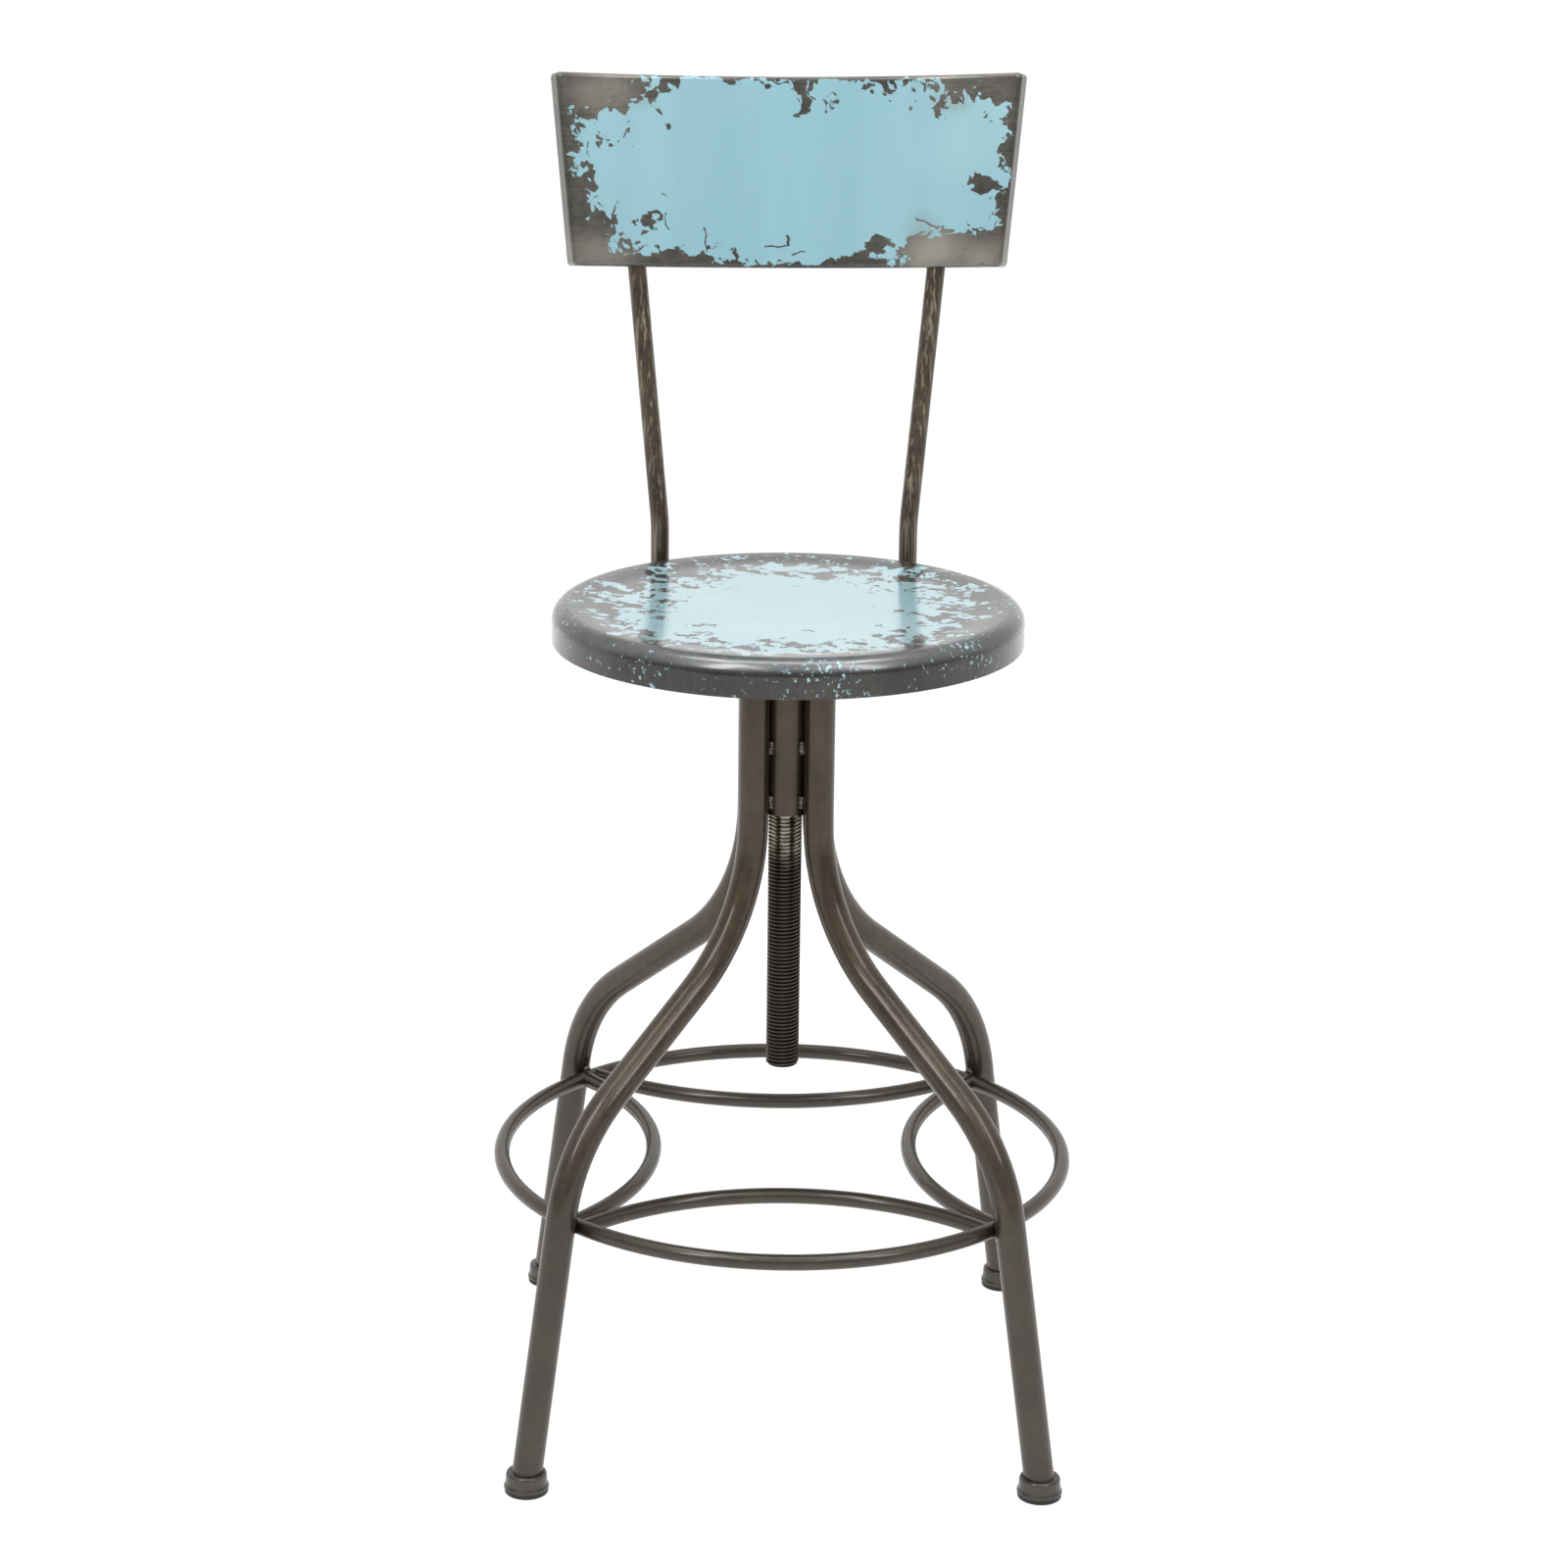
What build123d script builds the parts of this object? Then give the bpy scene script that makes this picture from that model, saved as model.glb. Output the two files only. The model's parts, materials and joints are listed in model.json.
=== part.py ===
from build123d import *
import math
import os

os.makedirs("parts", exist_ok=True)

# Seat pan
seat_dia = 355.6
seat_height = 641.0
seat_depth = 28.0
seat_edge_r = 12.0
seat_sheet = 1.5
seat_dish = 2.5
seat_slope_w = 28.0
skirt_to_brace = 2.0

# Screw, its nut and the hub round it
thread_dia = 25.4
thread_pitch = 3.0
thread_depth = 1.7
thread_gap = 0.3
crest_share = 0.3
spindle_turns = 111
hub_length = 121.0
hub_bore = 36.0
hub_wall = 5.5
nut_length = 45.0
bush_length = 30.0
bumper_t = 4.0
bumper_w = 4.7
stop_gap = 0.3
flange_to_upright = 16.8
flange_t = 6.0
flange_corner_r = 12.0
spindle_weld_leg = 3.5

# Braces under the seat
brace_width = 25.0
brace_t = 3.0
brace_inset = 52.8
brace_spacing = 110.0

# Legs
leg_dia = 23.0
leg_wall = 1.5
leg_upper_bend_r = 150.0
leg_lower_bend_reach = 52.4
leg_below_hub_top = 6.0
leg_gap = 0.05
upper_knee_z = 400.0
lower_knee_z = 262.0
lower_knee_r = 225.5
foot_r = 274.0
first_angle = 180
leg_angles = {"front_left": 225, "front_right": 315, "rear_left": 135, "rear_right": 45}

# Feet
glide_t = 4.0
glide_dia = 33.0
glide_edge_r = 1.0
ferrule_h = 12.5
ferrule_low_dia = 34.0
ferrule_waist_dia = 31.5
ferrule_top_dia = 30.5
ferrule_foot_h = 1.5
ferrule_flare_h = 2.5
ferrule_edge_r = 2.2
leg_end_above_glide = 4.0
socket_reach = 60.0

# Footrest
ring_z = 199.5
ring_bar = 12.0
ring_gap = 0.1
arc_bar = 12.0
arc_end_angle = 1.6
arc_turns = {"left": 0, "front": 90, "right": 180, "rear": 270}
arc_apex_r = {"left": 100.0, "front": 94.0, "right": 100.0, "rear": 103.0}

# Back
upright_dia = 14.5
panel_bar_inset = 54.0
upright_inset = 7.8
upright_overrun = 23.0
upright_bend_r = 22.0
upright_knee_r = 80.0
upright_knee_rise = 23.0
upright_top_gap = 24.0
panel_height = 149.0
panel_narrowing = 12.6
panel_splay = 5.4
panel_curve_r = 400.0
panel_lean = 10.8
panel_rise = 220.0
panel_depth = 13.0
panel_sheet = 1.5
panel_fold_r = 3.0
panel_corner_r = 4.0
panel_gap = 0.8
notch_gap = 0.4

# Fasteners and weld beads
bolt_dia = 6.0
bolt_gap = 0.3
bolt_head_w = 10.0
bolt_head_h = 4.0
bolt_end = 2.0
nut_h = 5.0
weld_r = 3.0
hub_weld_r = 3.2
hub_weld_length = 10.0
hub_weld_offset = 6.4
hub_weld_heights = [11.0, 54.0]
panel_weld_length = 16.0
panel_weld_heights = [32.0, 104.0]

# Heights that follow from the stack under the seat
seat_r = seat_dia / 2
skirt_z = seat_height - seat_depth
pan_under_z = seat_height - seat_dish - seat_sheet
brace_z = skirt_z - skirt_to_brace
flange_z = brace_z - flange_t
hub_top_z = flange_z - bumper_t - stop_gap
hub_z = hub_top_z - hub_length
spindle_z = flange_z - spindle_turns * thread_pitch
brace_mid_y = brace_spacing / 2
brace_length = seat_dia - 2 * brace_inset
upright_z = brace_z - upright_dia / 2
upright_y = seat_r - upright_inset
upright_front_y = -brace_mid_y - upright_overrun
upright_knee_z = seat_height + upright_knee_rise
panel_bottom_z = seat_height + panel_rise
panel_low_width = seat_dia - panel_narrowing
panel_bar_x = panel_low_width / 2 - panel_bar_inset

# Legs touch the hub all round
hub_r = hub_bore / 2 + hub_wall
leg_r = leg_dia / 2
leg_hub_r = hub_r + leg_r + leg_gap
leg_top_z = hub_top_z - leg_below_hub_top
foot_slope = (foot_r - lower_knee_r) / lower_knee_z
foot_lean = math.atan(foot_slope)
knee_lean = math.atan2(lower_knee_r - leg_hub_r, upper_knee_z - lower_knee_z)
leg_lower_bend_r = leg_lower_bend_reach / math.tan((knee_lean - foot_lean) / 2)
leg_end_z = glide_t + leg_end_above_glide


def leg_axis_r(z):
    return foot_r - foot_slope * z


ring_r = leg_axis_r(ring_z) - (leg_r + ring_bar / 2 + ring_gap) / math.cos(foot_lean)
ferrule_r = leg_axis_r(glide_t + ferrule_h / 2)


def radial(angle, r, z):
    a = math.radians(angle)
    return Vector(r * math.cos(a), r * math.sin(a), z)


def save(part, label):
    part.label = label
    export_step(part, f"parts/{label}.step")


# Frame of the leaning back panel: x across, y up the panel, z towards the sitter
lean = math.radians(panel_lean)
panel_up = Vector(0, math.sin(lean), math.cos(lean))
panel_out = Vector(0, -math.cos(lean), math.sin(lean))
splay = math.tan(math.radians(panel_splay))
upright_r = upright_dia / 2
bar_curve_r = panel_curve_r + panel_sheet + upright_r + panel_gap


# Place of an upright's axis behind the panel, measured from the middle of the panel's foot
def behind_panel(x, up):
    back = math.sqrt(bar_curve_r**2 - x**2) - panel_curve_r
    return Vector(x, 0, 0) + panel_up * up - panel_out * back


# The uprights rise from their knees at a set place behind the seat, which places the panel
bar_low = behind_panel(panel_bar_x, 0)
bar_high = behind_panel(panel_bar_x + panel_height * splay, panel_height)
bar_rise = (bar_high - bar_low) / (bar_high - bar_low).Z
bar_foot = bar_low - bar_rise * (panel_bottom_z + bar_low.Z - upright_knee_z)
panel_foot = Vector(0, upright_y - bar_foot.Y, panel_bottom_z)
bar_low += panel_foot
bar_high += panel_foot
knee_x = bar_foot.X

panel_top_width = panel_low_width + 2 * panel_height * splay
curve_plane = Plane(panel_foot + panel_out * panel_curve_r, x_dir=(1, 0, 0), z_dir=panel_up)


def bar_place(side, place):
    return Vector(side * place.X, place.Y, place.Z)


# Seat pan: flat middle, soft slope to the rim, rounded edge and skirt
edge_x = seat_r - seat_edge_r
flat_x = edge_x - seat_slope_w
top_z = seat_height
mid_z = seat_height - seat_dish
turn_z = seat_height - seat_edge_r

with BuildPart() as seat_pan:
    with BuildSketch(Plane.XZ):
        with BuildLine():
            Line((0, mid_z), (flat_x, mid_z))
            Spline((flat_x, mid_z), (edge_x, top_z), tangents=[(1, 0), (1, 0)])
            CenterArc((edge_x, turn_z), seat_edge_r, 0, 90)
            Line((seat_r, turn_z), (seat_r, skirt_z))
            Line((seat_r, skirt_z), (seat_r - seat_sheet, skirt_z))
            Line((seat_r - seat_sheet, skirt_z), (seat_r - seat_sheet, turn_z))
            CenterArc((edge_x, turn_z), seat_edge_r - seat_sheet, 0, 90)
            Spline(
                (flat_x, mid_z - seat_sheet),
                (edge_x, top_z - seat_sheet),
                tangents=[(1, 0), (1, 0)],
            )
            Line((flat_x, mid_z - seat_sheet), (0, mid_z - seat_sheet))
            Line((0, mid_z - seat_sheet), (0, mid_z))
        make_face()
    revolve(axis=Axis.Z)
save(seat_pan.part, "seat_pan")

# Channel braces, drilled for the bolts of the uprights
brace_h = pan_under_z - brace_z
bolt_hole_r = bolt_dia / 2 + bolt_gap
bolt_spots = [(x, y) for x in (-knee_x, knee_x) for y in (-brace_mid_y, brace_mid_y)]


def make_brace(side):
    with BuildPart() as brace:
        with BuildSketch(Plane.YZ.offset(-brace_length / 2)):
            with Locations((side * brace_mid_y, brace_z + brace_h / 2)):
                Rectangle(brace_width, brace_h)
            with Locations((side * (brace_mid_y + brace_t), brace_z + brace_h / 2)):
                Rectangle(brace_width, brace_h - 2 * brace_t, mode=Mode.SUBTRACT)
        extrude(amount=brace_length)
        with BuildSketch(Plane.XY.offset(brace_z)):
            with Locations(*[spot for spot in bolt_spots if spot[1] * side > 0]):
                Circle(bolt_hole_r)
        extrude(amount=brace_t, mode=Mode.SUBTRACT)
    return brace.part


save(make_brace(-1), "brace_front")
save(make_brace(1), "brace_rear")

# Plate on top of the screw
flange_length = 2 * (knee_x - upright_r - flange_to_upright)

with BuildPart() as spindle_flange:
    with BuildSketch(Plane.XY.offset(flange_z)):
        RectangleRounded(flange_length, brace_spacing + brace_width, flange_corner_r)
    extrude(amount=flange_t)
save(spindle_flange.part, "spindle_flange")

with BuildPart() as spindle_weld:
    with BuildSketch(Plane.XZ):
        with BuildLine():
            Polyline(
                (thread_dia / 2, flange_z),
                (thread_dia / 2 + spindle_weld_leg, flange_z),
                (thread_dia / 2, flange_z - spindle_weld_leg),
                close=True,
            )
        make_face()
    revolve(axis=Axis.Z)
save(spindle_weld.part, "spindle_weld")

# Rubber ring that lands on the hub
with BuildPart() as bumper:
    with BuildSketch(Plane.XY.offset(flange_z - bumper_t)):
        Circle(hub_bore / 2 + thread_gap + bumper_w)
        Circle(hub_bore / 2 + thread_gap, mode=Mode.SUBTRACT)
    extrude(amount=bumper_t)
save(bumper.part, "bumper")


# Screw: one ridge per pitch, with a bevelled free end
crest_r = thread_dia / 2
root_r = crest_r - thread_depth
flat_w = crest_share * thread_pitch
flank_w = (thread_pitch - 2 * flat_w) / 2
screw_points = [(0, spindle_z), (root_r, spindle_z)]
for turn in range(spindle_turns):
    ridge_z = spindle_z + turn * thread_pitch
    screw_points.append((root_r, ridge_z + flat_w))
    screw_points.append((crest_r, ridge_z + flat_w + flank_w))
    screw_points.append((crest_r, ridge_z + 2 * flat_w + flank_w))
    screw_points.append((root_r, ridge_z + thread_pitch))
screw_points.append((0, flange_z))

with BuildPart() as spindle:
    with BuildSketch(Plane.XZ):
        with BuildLine():
            Polyline(*screw_points, close=True)
        make_face()
    revolve(axis=Axis.Z)
save(spindle.part, "spindle")

# Hub tube with the threaded insert below and the plain bush above
with BuildPart() as hub:
    with BuildSketch(Plane.XY.offset(hub_z)):
        Circle(hub_r)
        Circle(hub_bore / 2, mode=Mode.SUBTRACT)
    extrude(amount=hub_length)
save(hub.part, "hub")

with BuildPart() as spindle_nut:
    with BuildSketch(Plane.XY.offset(hub_z)):
        Circle(hub_bore / 2)
        Circle(crest_r + thread_gap, mode=Mode.SUBTRACT)
    extrude(amount=nut_length)
save(spindle_nut.part, "spindle_nut")

with BuildPart() as guide_bush:
    with BuildSketch(Plane.XY.offset(hub_top_z - bush_length)):
        Circle(hub_bore / 2)
        Circle(crest_r + thread_gap, mode=Mode.SUBTRACT)
    extrude(amount=bush_length)
save(guide_bush.part, "guide_bush")


# Legs: upright by the hub, out at the upper knee, down at the lower knee
def leg_line(angle):
    return FilletPolyline(
        radial(angle, leg_hub_r, leg_top_z),
        radial(angle, leg_hub_r, upper_knee_z),
        radial(angle, lower_knee_r, lower_knee_z),
        radial(angle, leg_axis_r(leg_end_z), leg_end_z),
        radius=[leg_upper_bend_r, leg_lower_bend_r],
    )


def make_leg(angle):
    with BuildPart() as leg:
        with BuildLine() as path:
            leg_line(angle)
        with BuildSketch(Plane(path.line @ 0, z_dir=path.line % 0)):
            Circle(leg_r)
            Circle(leg_r - leg_wall, mode=Mode.SUBTRACT)
        sweep(path=path.line)
    return leg.part


# Solid outline of a leg's straight lower length, for what fits against it
def leg_outline(angle):
    low = radial(angle, leg_axis_r(leg_end_z), leg_end_z)
    high = radial(angle, lower_knee_r, lower_knee_z)
    with BuildPart() as outline:
        with BuildSketch(Plane(low, z_dir=high - low)):
            Circle(leg_r)
        extrude(amount=ring_z + socket_reach)
    return outline.part


# Cup on a leg's end: flared foot, straight side and rounded shoulder
def make_ferrule(angle):
    low_r = ferrule_low_dia / 2
    with BuildPart() as ferrule:
        with BuildSketch(Plane(radial(angle, ferrule_r, glide_t), x_dir=(1, 0, 0), z_dir=(0, -1, 0))):
            with BuildLine():
                Polyline(
                    (0, 0),
                    (low_r, 0),
                    (low_r, ferrule_foot_h),
                    (ferrule_waist_dia / 2, ferrule_foot_h + ferrule_flare_h),
                    (ferrule_top_dia / 2, ferrule_h),
                    (0, ferrule_h),
                    close=True,
                )
            make_face()
        revolve(axis=Axis(radial(angle, ferrule_r, glide_t), (0, 0, 1)))
        fillet(ferrule.edges().filter_by(GeomType.CIRCLE).sort_by(Axis.Z)[-1], ferrule_edge_r)
        add(leg_outline(angle), mode=Mode.SUBTRACT)
    return ferrule.part


def make_glide(angle):
    with BuildPart() as glide:
        with BuildSketch(Plane(radial(angle, ferrule_r, 0))):
            Circle(glide_dia / 2)
        extrude(amount=glide_t)
        fillet(glide.edges().sort_by(Axis.Z)[0], glide_edge_r)
    return glide.part


for place, angle in leg_angles.items():
    save(make_leg(angle), f"leg_{place}")
    save(make_ferrule(angle), f"ferrule_{place}")
    save(make_glide(angle), f"glide_{place}")

# Beads in the grooves between hub and legs
with BuildPart() as hub_welds:
    for height in hub_weld_heights:
        with BuildSketch(Plane.XY.offset(hub_z + height - hub_weld_length / 2)):
            for angle in leg_angles.values():
                for side in (-1, 1):
                    with Locations(Location((0, 0, 0), angle)):
                        with Locations((hub_r, side * hub_weld_offset)):
                            Circle(hub_weld_r)
            Circle(hub_r, mode=Mode.SUBTRACT)
            for angle in leg_angles.values():
                with Locations(radial(angle, leg_hub_r, 0)):
                    Circle(leg_r, mode=Mode.SUBTRACT)
        extrude(amount=hub_weld_length)
save(hub_welds.part, "hub_welds")

# Hoop inside the legs
with BuildPart() as foot_ring:
    with BuildSketch(Plane.XZ):
        with Locations((ring_r, ring_z)):
            Circle(ring_bar / 2)
    revolve(axis=Axis.Z)
save(foot_ring.part, "foot_ring")


# Bowed bars, coped to the hoop at both ends
arc_half = 180 / len(leg_angles) - arc_end_angle


def make_arc(apex_r):
    with BuildPart() as arc:
        with BuildLine() as path:
            ThreePointArc(
                radial(first_angle - arc_half, ring_r, ring_z),
                radial(first_angle, apex_r, ring_z),
                radial(first_angle + arc_half, ring_r, ring_z),
            )
        with BuildSketch(Plane(path.line @ 0, z_dir=path.line % 0)):
            Circle(arc_bar / 2)
        sweep(path=path.line)
        add(foot_ring.part, mode=Mode.SUBTRACT)
    return arc.part


for place, turn in arc_turns.items():
    save(make_arc(arc_apex_r[place]).rotate(Axis.Z, turn), f"foot_arc_{place}")

# Beads above and below the hoop where it meets each leg
with BuildPart() as weld_pair:
    for side in (-1, 1):
        bead_r = ring_r + ring_bar / 2 * math.cos(foot_lean) - weld_r / 3
        bead_r -= side * ring_bar / 2 * math.sin(foot_lean)
        with Locations(radial(first_angle, bead_r, ring_z + side * ring_bar / 2)):
            Sphere(weld_r)
    add(foot_ring.part, mode=Mode.SUBTRACT)
    add(leg_outline(first_angle), mode=Mode.SUBTRACT)

with BuildPart() as ring_welds:
    for angle in leg_angles.values():
        add(weld_pair.part.rotate(Axis.Z, angle - first_angle))
save(ring_welds.part, "ring_welds")

# Solid outline of an upright's leaning length, for what fits against it
def upright_outline(side, gap):
    low = bar_place(side, bar_low - bar_rise * panel_height / 2)
    high = bar_place(side, bar_high - bar_rise * upright_top_gap)
    with BuildPart() as outline:
        with BuildSketch(Plane(low, z_dir=high - low)):
            Circle(upright_r + gap)
        extrude(amount=(high - low).length)
    return outline.part


def make_upright(side):
    x = side * knee_x
    top = bar_place(side, bar_high - bar_rise * upright_top_gap)
    with BuildPart() as upright:
        with BuildLine() as path:
            FilletPolyline(
                (x, upright_front_y, upright_z),
                (x, upright_y, upright_z),
                (x, upright_y, upright_knee_z),
                top,
                radius=[upright_bend_r, upright_knee_r],
            )
        with BuildSketch(Plane(path.line @ 0, z_dir=path.line % 0)):
            Circle(upright_r)
        sweep(path=path.line)
        with BuildSketch(Plane.XY.offset(upright_z - upright_dia)):
            with Locations((x, -brace_mid_y), (x, brace_mid_y)):
                Circle(bolt_hole_r)
        extrude(amount=2 * upright_dia, mode=Mode.SUBTRACT)
    return upright.part


save(make_upright(-1), "upright_left")
save(make_upright(1), "upright_right")

# Place on the curve of the panel, by its turn from the middle, its radius and its height
def on_curve(turn, r, up):
    across = Vector(r * math.sin(turn), 0, 0)
    return curve_plane.origin + across - panel_out * r * math.cos(turn) + panel_up * up


# Block with the panel's outline, drawn in from it by an inset on the front, sides and ends
panel_rear_r = panel_curve_r + panel_depth
low_turn = math.asin(panel_low_width / 2 / panel_rear_r)
high_turn = math.asin(panel_top_width / 2 / panel_rear_r)
blank_deg = math.degrees(high_turn) + panel_splay


def panel_block(inset, rear_r):
    front_r = panel_curve_r + inset
    with BuildPart() as block:
        with BuildSketch(curve_plane.offset(inset)):
            with BuildLine():
                front_arc = CenterArc((0, 0), front_r, 90 - blank_deg, 2 * blank_deg)
                rear_arc = CenterArc((0, 0), rear_r, 90 - blank_deg, 2 * blank_deg)
                Line(front_arc @ 0, rear_arc @ 0)
                Line(front_arc @ 1, rear_arc @ 1)
            make_face()
        extrude(amount=panel_height - 2 * inset)
        for side in (-1, 1):
            low_corner = on_curve(side * low_turn, panel_curve_r, 0)
            high_corner = on_curve(side * high_turn, panel_curve_r, panel_height)
            rear_low_corner = on_curve(side * low_turn, panel_rear_r, 0)
            inward = (high_corner - low_corner).cross(rear_low_corner - low_corner) * side
            split(bisect_by=Plane(low_corner, z_dir=inward).offset(inset), keep=Keep.TOP)
        fillet(block.edges().sort_by(SortBy.LENGTH)[:4], panel_corner_r - inset)
        front_face = block.faces().filter_by(GeomType.CYLINDER).sort_by(SortBy.RADIUS)[-2]
        fillet(front_face.edges(), panel_fold_r - inset)
    return block.part


# Back panel: curved sheet folded back along all its edges
with BuildPart() as back_panel:
    add(panel_block(0, panel_rear_r))
    add(panel_block(panel_sheet, panel_rear_r + panel_depth), mode=Mode.SUBTRACT)
    for side in (-1, 1):
        add(upright_outline(side, notch_gap), mode=Mode.SUBTRACT)
save(back_panel.part, "back_panel")

# Beads along both sides of each upright behind the panel
with BuildPart() as panel_welds:
    for side in (-1, 1):
        for height in panel_weld_heights:
            for edge in (-1, 1):
                share = height / panel_height
                spot = bar_place(side, bar_low + (bar_high - bar_low) * share)
                along = bar_place(side, bar_high) - bar_place(side, bar_low)
                to_sheet = (curve_plane.origin + panel_up * height - spot).normalized()
                sideways = to_sheet.cross(along).normalized() * edge
                centre = spot + to_sheet * (upright_r - weld_r / 2) + sideways * (upright_r - weld_r / 2)
                bead_start = centre - along.normalized() * panel_weld_length / 2
                with BuildSketch(Plane(bead_start, z_dir=along)):
                    Circle(weld_r)
                extrude(amount=panel_weld_length)
    for side in (-1, 1):
        add(upright_outline(side, 0), mode=Mode.SUBTRACT)
    add(back_panel.part, mode=Mode.SUBTRACT)
save(panel_welds.part, "panel_welds")

# Bolts up through the uprights and braces, with nuts inside the braces
head_z = upright_z - upright_r
nut_z = brace_z + brace_t

with BuildPart() as upright_bolts:
    with BuildSketch(Plane.XY.offset(head_z - bolt_head_h)):
        with Locations(*bolt_spots):
            RegularPolygon(bolt_head_w / 2, 6, major_radius=False)
    extrude(amount=bolt_head_h)
    with BuildSketch(Plane.XY.offset(head_z)):
        with Locations(*bolt_spots):
            Circle(bolt_dia / 2)
    extrude(amount=nut_z + nut_h + bolt_end - head_z)
save(upright_bolts.part, "upright_bolts")

with BuildPart() as upright_nuts:
    with BuildSketch(Plane.XY.offset(nut_z)):
        with Locations(*bolt_spots):
            RegularPolygon(bolt_head_w / 2, 6, major_radius=False)
            Circle(bolt_dia / 2, mode=Mode.SUBTRACT)
    extrude(amount=nut_h)
save(upright_nuts.part, "upright_nuts")
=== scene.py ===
import json
import math

import bmesh
import bpy
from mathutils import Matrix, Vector, noise


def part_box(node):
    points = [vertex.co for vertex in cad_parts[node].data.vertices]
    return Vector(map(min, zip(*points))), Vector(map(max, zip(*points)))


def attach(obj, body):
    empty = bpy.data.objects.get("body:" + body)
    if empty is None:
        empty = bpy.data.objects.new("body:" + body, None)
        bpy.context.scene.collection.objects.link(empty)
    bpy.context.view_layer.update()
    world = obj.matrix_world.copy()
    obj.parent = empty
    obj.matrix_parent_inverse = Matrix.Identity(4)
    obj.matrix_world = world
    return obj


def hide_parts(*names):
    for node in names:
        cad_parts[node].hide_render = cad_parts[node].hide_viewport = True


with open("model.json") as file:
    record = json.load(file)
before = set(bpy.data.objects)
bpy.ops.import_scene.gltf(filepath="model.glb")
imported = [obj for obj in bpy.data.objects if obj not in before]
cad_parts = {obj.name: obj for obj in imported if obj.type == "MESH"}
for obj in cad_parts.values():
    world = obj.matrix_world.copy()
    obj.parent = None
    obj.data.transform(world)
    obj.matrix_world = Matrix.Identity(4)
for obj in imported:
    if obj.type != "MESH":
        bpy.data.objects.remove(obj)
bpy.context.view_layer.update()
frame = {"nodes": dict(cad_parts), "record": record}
nodes = frame["nodes"]
bodies = frame["record"]["behaviour"]["bodies"]
body_of_node = {node: body for body, members in bodies.items() for node in members}
slot_of_node = {part["node"]: part["material_slot"] for part in frame["record"]["subparts"]}
MM = 0.001

# Camera as fitted to the photo: lens and sensor in mm, place in metres, turn and tilt in degrees
CAMERA_LENS = 85.5
SENSOR_WIDTH = 36.0
CAMERA_PLACE = (-0.0614, -2.7252, 1.3051)
CAMERA_TURN = 1.25
CAMERA_TILT = 73.5
CAMERA_SHIFT = 0.1


def grey(level):
    return (level, level, level, 1.0)


# Shader colour for a screen colour given as red, green and blue of 255
def colour(red, green, blue):
    def linear(level):
        share = level / 255
        return share / 12.92 if share <= 0.04045 else ((share + 0.055) / 1.055) ** 2.4

    return (linear(red), linear(green), linear(blue), 1.0)


# Colours of the paint and of the steel that shows through it
PAINT = colour(153, 198, 208)
PAINT_PALE = colour(166, 207, 214)
# Darker paint of the painted reflection bands on the panel
PAINT_REFLECTION_BAND_DARK = colour(145, 190, 203)
STAIN = colour(128, 122, 98)
PANEL_STEEL = (colour(56, 54, 50), colour(112, 108, 100))
SEAT_STEEL = (colour(32, 30, 28), colour(72, 69, 64))
PANEL_RUBBED = colour(168, 164, 153)
# Painted highlight colour on the seat's front rim
RIM_PAINTED_HIGHLIGHT = colour(163, 166, 170)

# Colours of the other materials: dark and light, the grey they turn near the floor, and what lies on the
# steel
TUBE_STEEL = (colour(57, 46, 35), colour(92, 79, 63))
BAR_STEEL = (colour(53, 44, 35), colour(87, 77, 64))
UPRIGHT_STEEL = (colour(56, 46, 36), colour(92, 80, 66))
FERRULE_STEEL = (colour(58, 55, 52), colour(96, 92, 87))
WELD_STEEL = (colour(54, 49, 44), colour(146, 140, 132))
NEAR_FLOOR_GREY = colour(76, 72, 68)
STREAK = colour(172, 160, 140)
RUST = colour(96, 76, 58)
WORN_THROUGH = colour(150, 142, 130)
SCREW_BLACK = (colour(10, 9, 8), colour(96, 87, 77))
SCREW_BRIGHT = (colour(92, 86, 70), colour(168, 163, 148))
SCREW_RUST = colour(112, 92, 60)
ZINC = (colour(150, 150, 146), colour(205, 205, 202))
RUBBER = (colour(18, 18, 18), colour(46, 45, 44))
NYLON = (colour(30, 30, 31), colour(52, 52, 54))

# Places of A, B and the result among the sockets of a Mix node
MIX_COLOURS = (6, 7, 2)
MIX_NUMBERS = (2, 3, 0)


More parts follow.
